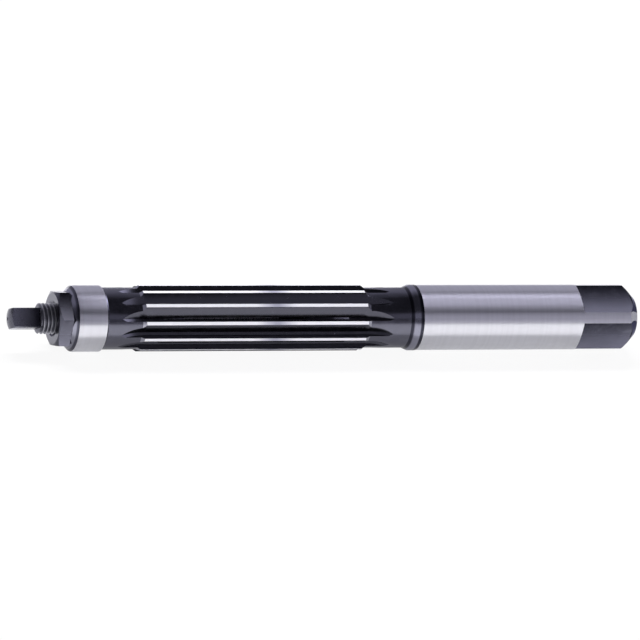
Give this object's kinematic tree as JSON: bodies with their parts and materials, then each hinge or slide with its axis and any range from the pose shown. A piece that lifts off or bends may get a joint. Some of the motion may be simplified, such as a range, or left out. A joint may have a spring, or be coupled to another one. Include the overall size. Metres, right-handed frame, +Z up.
{
  "type": "hand expansion reamer",
  "caption": "Straight-fluted hand reamer with pilot, slotted expanding body, adjusting screw with lock nut at the front and a driving square at the back.",
  "frame": {"origin": "middle of the tool's length, under its axis, on the surface that it lies on", "axes": "+X along the tool towards the driving square, +Z up"},
  "size_m": [0.2999, 0.03, 0.03],
  "materials": {
    "body_steel": "hardened steel, black oxide with bright ground pilot, lands and shank",
    "screw_steel": "black oxide",
    "expander_steel": "ground",
    "nut_steel": "black oxide"
  },
  "bodies": {
    "body": {"reamer_body": "body_steel"},
    "expander": {"expander_plug": "expander_steel"},
    "screw": {"adjusting_screw": "screw_steel"},
    "nut": {"lock_nut": "nut_steel"}
  },
  "joints": [
    {"name": "expander_slide", "type": "slide", "parent": "body", "child": "expander", "axis": [1, 0, 0], "range_m": [-0.0035, 0.00175]},
    {"name": "screw_turn", "type": "hinge", "parent": "expander", "child": "screw", "pos_m": [-0.12308, 0, 0.015], "axis": [1, 0, 0], "range_deg": [-720, 360]},
    {"name": "nut_turn", "type": "hinge", "parent": "body", "child": "nut", "pos_m": [-0.12607, 0, 0.015], "axis": [1, 0, 0], "range_deg": [-360, 0]}
  ],
  "couplings": [
    {"joint": "screw_turn", "follows": "expander_slide", "rad_per_m": 3590.4}
  ]
}
